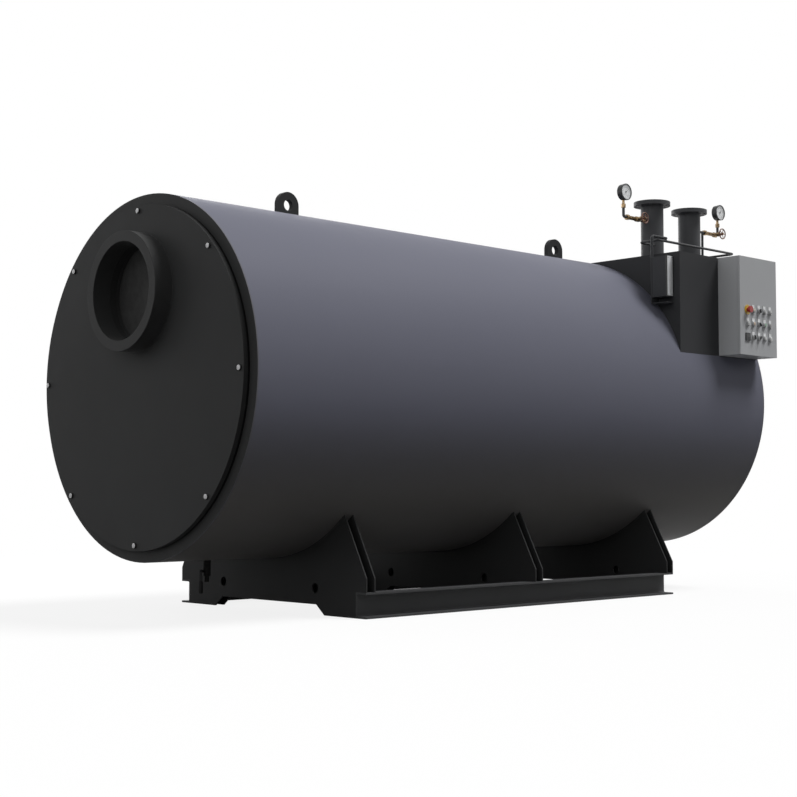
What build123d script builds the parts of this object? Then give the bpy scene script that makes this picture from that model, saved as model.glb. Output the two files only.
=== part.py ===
from build123d import *
import os
from math import sqrt

# Horizontal fire-tube boiler on two channel beams, with a header box along its shoulder.
# Millimetres. While it is built, X runs along the boiler's axis from the flue end to the
# burner end, Y = 0 and Z = 0 lie on that axis, and -Y is the side of the control cabinet.
# An inset is measured back from the edge, end or crest that it names, a rise up from it.

# Boiler body
shell_radius = 890
shell_wall = 60
body_length = 4025
ground_clearance = 269
axis_height = shell_radius + ground_clearance

# Bolted ends
ring_thickness = 6
ring_width = 125
cover_margin = 56
cover_thickness = 35
inner_wall_gap = 17
inner_wall_thickness = 12
ring_inner_radius = shell_radius - ring_width
cover_radius = shell_radius - cover_margin

# Flue outlet
flue_radius = 290
flue_wall = 51
flue_height = 409
flue_reach = 99
flue_bore_radius = flue_radius - flue_wall

# Burner opening
burner_radius = 280
burner_bore_radius = 180
burner_height = -120
burner_reach = 40
burner_stud_hole = 14
burner_stud_count = 8
burner_stud_circle = burner_radius + burner_bore_radius

# Lifting lugs on the crest, one inset from each end
lug_front_inset = 890
lug_rear_inset = 972
lug_radius = 70
lug_thickness = 30
lug_hole_radius = 30
lug_hole_rise = 66
lug_foot_sink = 5

# Base beams: channels with their flanges outward
beam_front_inset = 775
beam_rear_inset = 785
beam_edge_inset = 140
beam_width = 74
beam_depth = 126
beam_web = 8
beam_flange = 10
beam_root_radius = 8
beam_start = beam_front_inset
beam_end = body_length - beam_rear_inset
beam_edge = shell_radius - beam_edge_inset
beam_back = beam_edge - beam_width

# Saddles: two parallel plates each
saddle_width = 62
saddle_plate = 8
saddle_middle_shift = 27.5
saddle_arch_height = 51
saddle_arch_slope = 62
saddle_foot = 231
saddle_shoulder = 193
saddle_lean = 157
saddle_hole_radius = 24
saddle_hole_inset = 302
saddle_hole_height = 131
saddle_rear_start = beam_end - saddle_width
saddle_middle_start = (beam_start + saddle_rear_start) / 2 + saddle_middle_shift

# Header box on the shoulder
header_length = 816
header_end_inset = 5
header_face_inset = 42
header_top_inset = 17
header_end = body_length - header_end_inset
header_start = header_end - header_length
header_face = shell_radius - header_face_inset
header_top = shell_radius - header_top_inset

# Flanged nozzles on the header box
nozzle_front_inset = 218
nozzle_spacing = 393
nozzle_face_inset = 358
pipe_radius = 69.85
pipe_wall = 6.3
pipe_depth = 80
flange_radius = 112.5
flange_thickness = 25
flange_rise = 370
flange_hole_inset = 20
flange_hole_radius = 9
flange_hole_count = 8
seal_margin = 4.5
seal_thickness = 2
pipe_bore = pipe_radius - pipe_wall
nozzle_y = header_face - nozzle_face_inset
nozzle_1_x = header_start + nozzle_front_inset
nozzle_2_x = nozzle_1_x + nozzle_spacing

# Instrument box on the end of the header box, with its bracket
instrument_depth = 69
instrument_face_inset = 47
instrument_shell_gap = 50
instrument_top_inset = 28
instrument_height = 237
instrument_cover_thickness = 4
bracket_height = 43
bracket_wall = 5
bracket_shell_gap = 2
instrument_front = header_face - instrument_face_inset
instrument_high = header_top - instrument_top_inset
instrument_low = instrument_high - instrument_height
instrument_rear = sqrt(shell_radius**2 - instrument_low**2) + instrument_shell_gap
bracket_low = instrument_low - bracket_height
bracket_rear = sqrt(shell_radius**2 - bracket_low**2) + bracket_shell_gap

# Tube that links the nozzles, and the instrument line behind the box that drops onto it
line_radius = 8.5
line_box_gap = 18.5
line_rise = 18
line_bend = 20
line_run = 72
link_radius = 7.5
link_rise = 91
link_front_overhang = 187
link_rear_overhang = 221
link_bend = 25
link_return = 45
link_height = header_top + link_rise
link_front = instrument_rear - line_box_gap - line_radius
link_start = nozzle_1_x - link_front_overhang
link_end = nozzle_2_x + link_rear_overhang

# Gauges
gauge_radius = 50.5
gauge_depth = 40
gauge_back = 13
gauge_barrel_inset = 2
gauge_bezel_length = 13
gauge_edge_chamfer = 3
gauge_lip_chamfer = 1.2
gauge_rim = 5
gauge_recess = 10
gauge_rise = 148
dial_thickness = 3
stem_radius = 8
stem_length = 44
stem_nut_width = 24
stem_nut_length = 24
riser_radius = 8.5
riser_bend = 12
riser_1_lead = 14
riser_2_lead = 1

# Gauge valves
valve_rise = 245
valve_body_radius = 16
valve_body_half = 14
valve_shoulder = 4
valve_neck = 6
valve_barrel_radius = 12
valve_union_width = 30
valve_union_length = 22
valve_1_union_reach = 262
valve_1_bonnet_reach = 153
valve_2_union_reach = 157
valve_2_bonnet_reach = 282
supply_reach = 143
supply_radius = 8
bonnet_radius = 11
bonnet_length = 26
bonnet_nut_width = 26
bonnet_nut_length = 14
valve_height = header_top + valve_rise
gauge_height = valve_height + gauge_rise

# Handwheels on the gauge valves
wheel_reach = 60
wheel_radius = 32
wheel_rim_half = 3.5
wheel_rim_sides = 8
wheel_spokes = 5
spoke_width = 4
spoke_depth = 3
hub_radius = 8.5
hub_length = 10.5
spindle_radius = 5
spindle_play = 0.4
spindle_end_play = 1
spindle_entry = 12

# Control cabinet
cabinet_end_inset = 20
cabinet_width = 400
cabinet_height = 600
cabinet_depth = 154
cabinet_wall = 2
door_depth = 16
door_gap = 1
door_wall = 2
hinge_radius = 6
hinge_length = 50
hinge_inset = 70
cabinet_end = header_end - cabinet_end_inset
cabinet_start = cabinet_end - cabinet_width
cabinet_low = header_top - cabinet_height

# Devices on the cabinet door
device_columns = 5
device_rows = 3
device_pitch_x = 61
device_pitch_z = 83
device_first_row = 276
plate_width = 30
plate_height = 50
plate_drop = 15
plate_thickness = 2
button_radius = 14.5
button_reach = 12
barrel_radius = 11
barrel_play = 0.3
barrel_length = 45
stop_plate_radius = 30
stop_radius = 20
stop_reach = 30
stop_head = 15
controller_side = 48
controller_reach = 6
controller_length = 60
controller_lip = 1.5
controller_play = 0.5

# Drain valve under the flue end
drain_x = 388
drain_radius = 19
drain_nipple_length = 36
drain_body_width = 36
drain_body_length = 41
drain_outlet_radius = 12
drain_outlet_length = 31
drain_bore_radius = 8
drain_bore_end = 12
drain_spindle_drop = 18
drain_spindle_reach = 33
drain_spindle_radius = 6
lever_width = 19
lever_thickness = 4
lever_length = 108


def disc(start, end, outer, inner=0, y=0, z=0):
    """Round plate or ring across the boiler's axis."""
    face = Circle(outer) - Circle(inner) if inner else Circle(outer)
    return Pos(start, y, z) * extrude(Plane.YZ * face, amount=end - start)


def post(x, y, low, high, radius):
    """Upright round bar."""
    return Pos(x, y, low) * extrude(Circle(radius), amount=high - low)


def block(x0, x1, y0, y1, z0, z1):
    """Rectangular block between two corners."""
    return Pos((x0 + x1) / 2, (y0 + y1) / 2, (z0 + z1) / 2) * Box(x1 - x0, y1 - y0, z1 - z0)


def toward_panel(x, y, z, face, reach):
    """Profile in X and Z pushed out from the plane Y = y towards the panel side."""
    return Pos(x, y, z) * extrude(Plane.XZ * face, amount=reach)


def bent_bar(points, radius, bend):
    """Round bar along straight runs joined by equal bends."""
    path = FilletPolyline(*points, radius=bend)
    section = Plane(origin=path @ 0, z_dir=path % 0) * Circle(radius)
    return sweep(section, path=path)


def turned(outline, axis):
    """Solid of revolution from a closed outline that starts and ends on its axis."""
    return revolve(make_face(Polyline(*outline, close=True)), axis=axis)


def hexagon(width):
    """Hexagon by its width across the flats."""
    return RegularPolygon(width / 2, 6, major_radius=False)


pieces = {}
shell_core = disc(0, body_length, shell_radius)

# Body and its two ends
shell_bore = shell_radius - shell_wall
shell_end = body_length - ring_thickness
pieces["boiler_shell"] = disc(ring_thickness, shell_end, shell_radius, shell_bore)
pieces["flue_end_ring"] = disc(0, ring_thickness, shell_radius, ring_inner_radius)
pieces["burner_end_ring"] = disc(shell_end, body_length, shell_radius, ring_inner_radius)
pieces["flue_inner_wall"] = disc(inner_wall_gap, inner_wall_gap + inner_wall_thickness, shell_bore)
burner_wall_end = body_length - inner_wall_gap
pieces["burner_inner_wall"] = disc(burner_wall_end - inner_wall_thickness, burner_wall_end, shell_bore)
flue_face = -cover_thickness
burner_face = body_length + cover_thickness
pieces["flue_end_cover"] = disc(flue_face, 0, cover_radius) - disc(
    flue_face, 0, flue_bore_radius, z=flue_height
)
pieces["burner_end_cover"] = disc(body_length, burner_face, cover_radius) - disc(
    body_length, burner_face, burner_bore_radius, z=burner_height
)
pieces["flue_collar"] = disc(
    flue_face - flue_reach, flue_face, flue_radius, flue_bore_radius, z=flue_height
)
burner_studs = PolarLocations(burner_stud_circle / 2, burner_stud_count) * Circle(burner_stud_hole / 2)
burner_ring = Circle(burner_radius) - Circle(burner_bore_radius) - burner_studs
pieces["burner_flange"] = Pos(burner_face, 0, burner_height) * extrude(
    Plane.YZ * burner_ring, amount=burner_reach
)

# Lifting lugs
lug_hole_z = shell_radius + lug_hole_rise
lug_foot_z = shell_radius - lug_foot_sink
for place, lug_x in (("front", lug_front_inset), ("rear", body_length - lug_rear_inset)):
    lug_profile = (
        Pos(0, lug_hole_z) * Circle(lug_radius)
        + Pos(0, (lug_hole_z + lug_foot_z) / 2) * Rectangle(2 * lug_radius, lug_hole_z - lug_foot_z)
        - Pos(0, lug_hole_z) * Circle(lug_hole_radius)
    )
    lug = toward_panel(lug_x, lug_thickness / 2, 0, lug_profile, lug_thickness)
    pieces["lifting_lug_" + place] = lug - shell_core

# Base beams
web_front = beam_back + beam_web
beam_profile = Polyline(
    (beam_back, 0),
    (beam_edge, 0),
    (beam_edge, beam_flange),
    (web_front, beam_flange),
    (web_front, beam_depth - beam_flange),
    (beam_edge, beam_depth - beam_flange),
    (beam_edge, beam_depth),
    (beam_back, beam_depth),
    close=True,
)
beam_face = make_face(beam_profile)
beam_roots = beam_face.vertices().group_by(Axis.X)[1]
beam_face = fillet(beam_roots, beam_root_radius)
beam = Pos(beam_start, 0, -axis_height) * extrude(Plane.YZ * beam_face, amount=beam_end - beam_start)
pieces["base_beam_right"] = beam
pieces["base_beam_left"] = mirror(beam, about=Plane.XZ)

# Saddles
saddle_foot_inner = beam_back - saddle_foot
saddle_top_y = beam_edge - saddle_lean
saddle_top_height = axis_height - sqrt(shell_radius**2 - saddle_top_y**2)
saddle_side = [
    (saddle_foot_inner - saddle_arch_slope, saddle_arch_height),
    (saddle_foot_inner, 0),
    (beam_back, 0),
    (beam_back, beam_depth),
    (beam_edge, beam_depth),
    (beam_edge, saddle_shoulder),
    (saddle_top_y, saddle_top_height),
]
saddle_outline = saddle_side + [(-y, z) for y, z in reversed(saddle_side)]
saddle_face = make_face(Polyline(*saddle_outline, close=True)) - Pos(0, axis_height) * Circle(shell_radius)
for side in (-1, 1):
    hole_y = side * (beam_back - saddle_hole_inset)
    saddle_face -= Pos(hole_y, saddle_hole_height) * Circle(saddle_hole_radius)
saddle_blade = Pos(0, 0, -axis_height) * extrude(Plane.YZ * saddle_face, amount=saddle_plate)
saddle_starts = {"front": beam_start, "middle": saddle_middle_start, "rear": saddle_rear_start}
for place, front in saddle_starts.items():
    rear = front + saddle_width - saddle_plate
    pieces["saddle_" + place] = Compound([Pos(x, 0, 0) * saddle_blade for x in (front, rear)])

# Header box and nozzles
header_box = block(header_start, header_end, -header_face, 0, 0, header_top) - shell_core
pipe_low = header_top - pipe_depth
flange_top = header_top + flange_rise
seal_low = flange_top - seal_thickness
flange_low = seal_low - flange_thickness
hole_circle_radius = flange_radius - flange_hole_inset
seal_radius = hole_circle_radius - flange_hole_radius - seal_margin
flange_holes = PolarLocations(
    hole_circle_radius, flange_hole_count, start_angle=180 / flange_hole_count
) * Circle(flange_hole_radius)
flange_face = Circle(flange_radius) - Circle(pipe_bore) - flange_holes
pipe_solids = []
for number, nozzle_x in (("1", nozzle_1_x), ("2", nozzle_2_x)):
    header_box -= post(nozzle_x, -nozzle_y, pipe_low, header_top, pipe_radius)
    bore = post(nozzle_x, -nozzle_y, pipe_low, flange_low, pipe_bore)
    pipe = post(nozzle_x, -nozzle_y, pipe_low, flange_low, pipe_radius)
    pipe_solids.append(pipe)
    pieces["nozzle_" + number + "_pipe"] = pipe - bore
    flange = extrude(flange_face, amount=flange_thickness)
    flange += Pos(0, 0, flange_thickness) * extrude(
        Circle(seal_radius) - Circle(pipe_bore), amount=seal_thickness
    )
    pieces["nozzle_" + number + "_flange"] = Pos(nozzle_x, -nozzle_y, flange_low) * flange
pieces["header_box"] = header_box

# Tube that runs in front of both nozzles and ends in their sides
link_points = [
    (nozzle_1_x, -nozzle_y - link_return, link_height),
    (link_start, -nozzle_y - link_return, link_height),
    (link_start, -link_front, link_height),
    (link_end, -link_front, link_height),
    (link_end, -nozzle_y + link_return, link_height),
    (nozzle_2_x, -nozzle_y + link_return, link_height),
]
pieces["nozzle_link_tube"] = bent_bar(link_points, link_radius, link_bend) - pipe_solids

# Gauge valves: a turned body with a union nut, and a bonnet towards the panel side
valve_1_union_x = nozzle_1_x - valve_1_union_reach
valve_2_union_x = nozzle_2_x + valve_2_union_reach
valve_1_bonnet_x = nozzle_1_x - valve_1_bonnet_reach
valve_2_bonnet_x = nozzle_2_x + valve_2_bonnet_reach
valve_2_body_end = valve_2_bonnet_x + valve_body_half + valve_neck
bonnet_face = bonnet_length + bonnet_nut_length
spindle_back = -nozzle_y - bonnet_face + spindle_entry


def gauge_valve(union_x, bonnet_x, end_x):
    """Valve along X from its union nut to end_x, with its bonnet bored for the spindle."""
    body = turned(
        [
            (union_x, 0),
            (union_x, valve_barrel_radius),
            (bonnet_x - valve_body_half - valve_shoulder, valve_barrel_radius),
            (bonnet_x - valve_body_half, valve_body_radius),
            (bonnet_x + valve_body_half, valve_body_radius),
            (bonnet_x + valve_body_half + valve_shoulder, valve_barrel_radius),
            (end_x, valve_barrel_radius),
            (end_x, 0),
        ],
        Axis.X,
    )
    union_nut = extrude(Plane.YZ * hexagon(valve_union_width), amount=valve_union_length)
    valve = Pos(0, -nozzle_y, valve_height) * (body + Pos(union_x, 0, 0) * union_nut)
    valve += toward_panel(bonnet_x, -nozzle_y, valve_height, Circle(bonnet_radius), bonnet_length)
    valve += toward_panel(
        bonnet_x, -nozzle_y - bonnet_length, valve_height, hexagon(bonnet_nut_width), bonnet_nut_length
    )
    spindle_bore = Circle(spindle_radius + spindle_play)
    return valve - toward_panel(
        bonnet_x, spindle_back + spindle_end_play, valve_height, spindle_bore, bonnet_face
    )


pieces["gauge_1_valve"] = gauge_valve(valve_1_union_x, valve_1_bonnet_x, nozzle_1_x) - pipe_solids[0]
pieces["gauge_2_valve"] = gauge_valve(valve_2_union_x, valve_2_bonnet_x, valve_2_body_end)

# Handwheels: a rim with its corners taken off, flat spokes, a hub and a spindle
rim_section = RegularPolygon(
    wheel_rim_half, wheel_rim_sides, major_radius=False, rotation=180 / wheel_rim_sides
)
wheel = revolve(Pos(wheel_radius, 0) * rim_section, axis=Axis.Y)
spoke_place = Pos((wheel_radius + spindle_radius) / 2, 0, 0)
spoke = spoke_place * Box(wheel_radius - spindle_radius, spoke_depth, spoke_width)
for k in range(wheel_spokes):
    wheel += Rot(0, 360 * k / wheel_spokes, 0) * spoke
wheel += Rot(90, 0, 0) * Cylinder(hub_radius, hub_length)
wheel_plane = -nozzle_y - wheel_reach
for number, bonnet_x in (("1", valve_1_bonnet_x), ("2", valve_2_bonnet_x)):
    spindle = toward_panel(
        bonnet_x, spindle_back, valve_height, Circle(spindle_radius), spindle_back - wheel_plane
    )
    pieces["gauge_" + number + "_wheel"] = Pos(bonnet_x, wheel_plane, valve_height) * wheel + spindle

# Risers, gauges and their stems
riser_1_x = valve_1_union_x - riser_1_lead - riser_bend
riser_2_x = valve_2_body_end + riser_2_lead + riser_bend
stem_low = gauge_height - gauge_radius - stem_length
dial_radius = gauge_radius - gauge_rim
barrel_case_radius = gauge_radius - gauge_barrel_inset
case_outline = [
    (0, 0),
    (barrel_case_radius, 0),
    (barrel_case_radius, gauge_depth - gauge_bezel_length),
    (gauge_radius, gauge_depth - gauge_bezel_length),
    (gauge_radius, gauge_depth),
    (dial_radius, gauge_depth),
    (dial_radius, gauge_depth - gauge_recess),
    (0, gauge_depth - gauge_recess),
]
case_face = make_face(Polyline(*case_outline, close=True))
case_back_corner = case_face.vertices().sort_by(Axis.Y)[:2].sort_by(Axis.X)[-1]
case_face = chamfer(case_back_corner, gauge_edge_chamfer)
case_front_corner = case_face.vertices().sort_by(Axis.Y)[-2:].sort_by(Axis.X)[-1]
case_face = chamfer(case_front_corner, gauge_lip_chamfer)
case_turned = mirror(revolve(case_face, axis=Axis.Y), about=Plane.XZ)
for number, riser_from, riser_x in (
    ("1", valve_1_union_x, riser_1_x),
    ("2", valve_2_body_end, riser_2_x),
):
    node = "gauge_" + number
    riser_points = [
        (riser_from, -nozzle_y, valve_height),
        (riser_x, -nozzle_y, valve_height),
        (riser_x, -nozzle_y, stem_low),
    ]
    pieces[node + "_riser"] = bent_bar(riser_points, riser_radius, riser_bend)
    case = Pos(riser_x, gauge_back - nozzle_y, gauge_height) * case_turned
    dial_y = gauge_back - nozzle_y - gauge_depth + gauge_recess
    pieces[node + "_case"] = case
    pieces[node + "_dial"] = toward_panel(
        riser_x, dial_y, gauge_height, Circle(dial_radius), dial_thickness
    )
    stem = post(riser_x, -nozzle_y, stem_low, gauge_height, stem_radius)
    stem_nut = extrude(hexagon(stem_nut_width), amount=stem_nut_length)
    stem += Pos(riser_x, -nozzle_y, stem_low) * stem_nut
    case_filled = toward_panel(
        riser_x, gauge_back - nozzle_y, gauge_height, Circle(barrel_case_radius), gauge_depth
    )
    pieces[node + "_stem"] = stem - case_filled - case

# Supply to the second gauge: a stub from the nozzle and a leg from the header box
supply = disc(nozzle_2_x, valve_2_union_x, riser_radius, y=-nozzle_y, z=valve_height)
supply += post(nozzle_2_x + supply_reach, -nozzle_y, header_top, valve_height, supply_radius)
pieces["gauge_2_supply"] = supply - pipe_solids[1]

# Instrument box, its cover, its bracket and its line
box_start = header_start - instrument_depth
cover_back = -instrument_front + instrument_cover_thickness
pieces["instrument_box"] = block(
    box_start, header_start, cover_back, -instrument_rear, instrument_low, instrument_high
)
pieces["instrument_cover"] = block(
    box_start, header_start, -instrument_front, cover_back, instrument_low, instrument_high
)
bracket_back = -bracket_rear
bracket = block(box_start, header_start, -instrument_front, bracket_back, bracket_low, instrument_low)
bracket -= block(
    box_start,
    header_start,
    -instrument_front,
    bracket_back - bracket_wall,
    bracket_low + bracket_wall,
    instrument_low - bracket_wall,
)
pieces["instrument_bracket"] = bracket - shell_core
line_x = header_start - instrument_depth / 2
line_end = link_start + line_run
line_top = link_height + line_rise
line_points = [
    (line_x, -link_front, bracket_low),
    (line_x, -link_front, line_top),
    (line_end + line_radius, -link_front, line_top),
]
line = bent_bar(line_points, line_radius, line_bend)
line += post(line_end, -link_front, link_height, line_top, line_radius)
link_straight = disc(link_start, link_end, link_radius, y=-link_front, z=link_height)
pieces["instrument_line"] = line - link_straight - shell_core

# Control cabinet: a tray against the header box and a shallow tray for its door
door_front = -header_face - cabinet_depth
door_back = door_front + door_depth
cabinet_front = door_back + door_gap
cabinet = block(cabinet_start, cabinet_end, cabinet_front, -header_face, cabinet_low, header_top)
cabinet -= block(
    cabinet_start + cabinet_wall,
    cabinet_end - cabinet_wall,
    cabinet_front,
    -header_face - cabinet_wall,
    cabinet_low + cabinet_wall,
    header_top - cabinet_wall,
)
door = block(cabinet_start, cabinet_end, door_front, door_back, cabinet_low, header_top)
door -= block(
    cabinet_start + door_wall,
    cabinet_end - door_wall,
    door_front + door_wall,
    door_back,
    cabinet_low + door_wall,
    header_top - door_wall,
)

# Door hinges: the lower knuckle belongs to the cabinet, the upper one to the door
hinge_x = cabinet_end + hinge_radius
hinge_y = (cabinet_front + door_back) / 2
hinge_half = hinge_length / 2
for hinge_z in (cabinet_low + hinge_inset, header_top - hinge_inset):
    knuckle_low = hinge_z - hinge_half
    knuckle_top = hinge_z - door_gap
    cabinet += post(hinge_x, hinge_y, knuckle_low, knuckle_top, hinge_radius)
    cabinet += block(
        cabinet_end, hinge_x, cabinet_front, hinge_y + hinge_radius, knuckle_low, knuckle_top
    )
    door += post(hinge_x, hinge_y, hinge_z, hinge_z + hinge_half, hinge_radius)
    door += block(
        cabinet_end, hinge_x, hinge_y - hinge_radius, door_back, hinge_z, hinge_z + hinge_half
    )


def push_button(x, z):
    """Button on its legend plate, with its barrel through the door."""
    plate_z = z + plate_height / 2 - plate_drop
    button = toward_panel(x, door_front + barrel_length, z, Circle(barrel_radius), barrel_length)
    button += toward_panel(x, door_front, plate_z, Rectangle(plate_width, plate_height), plate_thickness)
    return button + toward_panel(x, door_front, z, Circle(button_radius), button_reach)


def emergency_stop(x, z):
    """Mushroom head on a round plate, with its barrel through the door."""
    stop = toward_panel(x, door_front + barrel_length, z, Circle(barrel_radius), barrel_length + stop_reach)
    stop += toward_panel(x, door_front, z, Circle(stop_plate_radius), plate_thickness)
    head_back = door_front - stop_reach + stop_head
    return stop + toward_panel(x, head_back, z, Circle(stop_radius), stop_head)


def controller(x, z):
    """Square panel instrument: a bezel outside the door and its body through it."""
    core_side = controller_side - 2 * controller_lip
    core = Rectangle(core_side, core_side)
    body = toward_panel(x, door_front + controller_length, z, core, controller_length)
    bezel = Rectangle(controller_side, controller_side)
    return body + toward_panel(x, door_front, z, bezel, controller_reach)


# Devices in a grid; the emergency stop and the controller take the first places
cabinet_middle = cabinet_start + cabinet_width / 2
round_hole = Circle(barrel_radius + barrel_play)
square_side = controller_side - 2 * controller_lip + 2 * controller_play
square_hole = Rectangle(square_side, square_side)
buttons = []
for row in range(device_rows):
    for column in range(device_columns):
        x = cabinet_middle + (column - (device_columns - 1) / 2) * device_pitch_x
        z = cabinet_low + device_first_row - row * device_pitch_z
        has_controller = row == device_rows - 1 and column == 0
        door -= toward_panel(x, door_back, z, square_hole if has_controller else round_hole, door_depth)
        if has_controller:
            pieces["door_controller"] = controller(x, z)
        elif row == 0 and column == 0:
            pieces["emergency_stop"] = emergency_stop(x, z)
        else:
            buttons.append(push_button(x, z))
pieces["door_devices"] = Compound(buttons)
pieces["cabinet_box"] = cabinet - shell_core
pieces["cabinet_door"] = door

# Drain valve under the shell
nipple_low = -shell_radius - drain_nipple_length
drain_body_low = nipple_low - drain_body_length
outlet_low = drain_body_low - drain_outlet_length
spindle_z = nipple_low - drain_spindle_drop
spindle_end = drain_x - drain_spindle_reach
drain = post(drain_x, 0, nipple_low, drain_radius - shell_radius, drain_radius)
drain += Pos(drain_x, 0, drain_body_low) * extrude(hexagon(drain_body_width), amount=drain_body_length)
drain += post(drain_x, 0, outlet_low, drain_body_low, drain_outlet_radius)
drain += disc(spindle_end, drain_x, drain_spindle_radius, z=spindle_z)
drain -= post(drain_x, 0, outlet_low, drain_body_low + drain_bore_end, drain_bore_radius)
pieces["drain_valve"] = drain - shell_core

# Its lever: a strap with a round eye, hanging down beside the valve
lever_side = Circle(lever_width / 2) + Pos(0, -lever_length / 2) * Rectangle(lever_width, lever_length)
pieces["drain_lever"] = Pos(spindle_end - lever_thickness, 0, spindle_z) * extrude(
    Plane.YZ * lever_side, amount=lever_thickness
)

# Stand the boiler on the floor with the middle of its plan at the origin
os.makedirs("parts", exist_ok=True)
whole = Compound(list(pieces.values())).bounding_box()
to_origin = Pos(-(whole.min.X + whole.max.X) / 2, -(whole.min.Y + whole.max.Y) / 2, axis_height)
for node, piece in pieces.items():
    export_step(to_origin * piece, "parts/" + node + ".step")
print("moved by", to_origin.position)
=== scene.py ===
import bmesh
import bpy
import math
import numpy as np
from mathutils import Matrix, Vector


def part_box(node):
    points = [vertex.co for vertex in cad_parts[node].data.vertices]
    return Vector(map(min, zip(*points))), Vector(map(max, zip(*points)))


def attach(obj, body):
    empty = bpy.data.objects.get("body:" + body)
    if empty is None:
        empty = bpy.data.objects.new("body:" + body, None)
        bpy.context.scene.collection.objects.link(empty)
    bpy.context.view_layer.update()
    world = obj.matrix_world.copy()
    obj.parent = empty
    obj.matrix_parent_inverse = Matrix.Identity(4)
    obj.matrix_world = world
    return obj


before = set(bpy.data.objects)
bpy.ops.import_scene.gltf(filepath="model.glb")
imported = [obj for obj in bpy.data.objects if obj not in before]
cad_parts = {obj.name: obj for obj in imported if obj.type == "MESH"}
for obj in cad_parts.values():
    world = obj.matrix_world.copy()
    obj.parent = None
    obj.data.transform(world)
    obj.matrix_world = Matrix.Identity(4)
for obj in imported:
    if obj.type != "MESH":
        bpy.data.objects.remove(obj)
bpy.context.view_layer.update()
print("frame loaded,", len(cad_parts), "nodes")


# places that the pieces are worked out from, all in metres

def corners(node):
    # lowest and highest corner of a CAD node as arrays
    return [np.array(corner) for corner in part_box(node)]


def middle(node):
    # half-way between the two corners
    low, high = corners(node)
    return (low + high) / 2


shellLow, shellHigh = corners("boiler_shell")
axisY, axisZ = middle("boiler_shell")[1:]
shellRadius = (shellHigh[2] - shellLow[2]) / 2
doorFace = corners("cabinet_door")[0][1]

east, north, up = (1, 0, 0), (0, 1, 0), (0, 0, 1)
west, south = (-1, 0, 0), (0, -1, 0)


# shader maths

class Wire:
    # one socket of a material; arithmetic on it adds Math nodes
    def __init__(self, shade, socket):
        self.shade = shade
        self.socket = socket

    def math(self, operation, other=0.5):
        return self.shade.node("ShaderNodeMath", {"operation": operation}, {0: self, 1: other})

    def __add__(self, other):
        return self.math("ADD", other)

    def __sub__(self, other):
        return self.math("SUBTRACT", other)

    def __mul__(self, other):
        return self.math("MULTIPLY", other)

    def __rsub__(self, other):
        return (self * -1.0) + other

    __radd__ = __add__
    __rmul__ = __mul__

    def above(self, limit, soft):
        # 0 below limit, 1 above it, with a smooth step of that width between
        values = {"Value": self, "From Min": limit - soft / 2, "From Max": limit + soft / 2}
        return self.shade.node("ShaderNodeMapRange", {"interpolation_type": "SMOOTHSTEP"}, values)

    def below(self, limit, soft):
        # 1 below limit, 0 above it
        return 1 - self.above(limit, soft)


class Shade:
    # one material; node() adds any node and gives its first output, or the one named
    def __init__(self, name):
        self.material = bpy.data.materials.new(name)
        self.material.use_nodes = True
        self.tree = self.material.node_tree
        self.tree.nodes.clear()
        self.place = self.node("ShaderNodeTexCoord", output="Object")
        axes = self.tree.nodes.new("ShaderNodeSeparateXYZ")
        self.tree.links.new(self.place.socket, axes.inputs[0])
        self.x, self.y, self.z = (Wire(self, socket) for socket in axes.outputs)

    def node(self, kind, settings=None, values=None, output=0):
        made = self.tree.nodes.new(kind)
        for key, value in (settings or {}).items():
            setattr(made, key, value)
        for key, value in (values or {}).items():
            if isinstance(value, Wire):
                self.tree.links.new(value.socket, made.inputs[key])
            else:
                made.inputs[key].default_value = value
        return Wire(self, made.outputs[output])

    def noise(self, scale, detail, roughness=0.5, vector=None):
        # cloudy noise from 0 to 1, about scale clouds to the metre, finer with more detail
        values = {"Vector": vector or self.place, "Scale": scale,
                  "Detail": detail, "Roughness": roughness}
        return self.node("ShaderNodeTexNoise", None, values)

    def stretched(self, scales):
        # Object coordinates times three numbers, which draws a pattern out along an axis
        return self.node("ShaderNodeMapping", None, {"Vector": self.place, "Scale": scales})

    def mix(self, factor, first, second):
        # the first tone where factor is 0, the second where it is 1
        colours = {0: factor, 6: colour(first), 7: colour(second)}
        return self.node("ShaderNodeMix", {"data_type": "RGBA"}, colours, 2)

    def bump(self, height, distance, strength, base=None):
        # a normal that leans with the slope of height times distance, from the base normal if given
        values = {"Height": height, "Distance": distance, "Strength": strength}
        if base:
            values["Normal"] = base
        return self.node("ShaderNodeBump", None, values)

    def rounded(self, radius):
        # the normal that an edge rounded by that radius would have
        return self.node("ShaderNodeBevel", {"samples": 4}, {"Radius": radius})

    def finish(self, **sockets):
        # a Principled surface; each socket by its name, with _ for a space
        values = {key.replace("_", " "): value for key, value in sockets.items()}
        surface = self.node("ShaderNodeBsdfPrincipled", None, values)
        return self.close(surface)

    def close(self, surface):
        # the material, with this surface as its output
        output = self.tree.nodes.new("ShaderNodeOutputMaterial")
        self.tree.links.new(surface.socket, output.inputs["Surface"])
        return self.material


def colour(value):
    # a wire as it is, or three numbers with an alpha of 1
    return value if isinstance(value, Wire) else (*value, 1.0)


def scaled(tone, factor):
    # each channel times the factor, up to 1
    return tuple(min(1.0, channel * factor) for channel in tone)


# finishes

dustTone = (0.30, 0.30, 0.29)


def varied(value, wave, spread):
    # the value, less or more by half the spread as the wave goes from 0 to 1
    return value + wave * spread - spread / 2


def rimTones(shade, base, rim):
    # past the rim's radius from the axis its tone, or the seam's where x lies between from and to; on
    # the end covers the rim tone is painted shading of the side wall and the seam is a painted shadow
    # in the gap at the ring
    across, above = shade.y - axisY, shade.z - axisZ
    reach = (across * across + above * above).math("SQRT")
    tone = rim["tone"]
    if "seam" in rim:
        seam = shade.x.above(rim["from"], rim["seamSoft"]) * shade.x.below(rim["to"], rim["seamSoft"])
        tone = shade.mix(seam, tone, rim["seam"])
    return shade.mix(reach.above(rim["radius"], rim["soft"]), base, tone)


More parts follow.
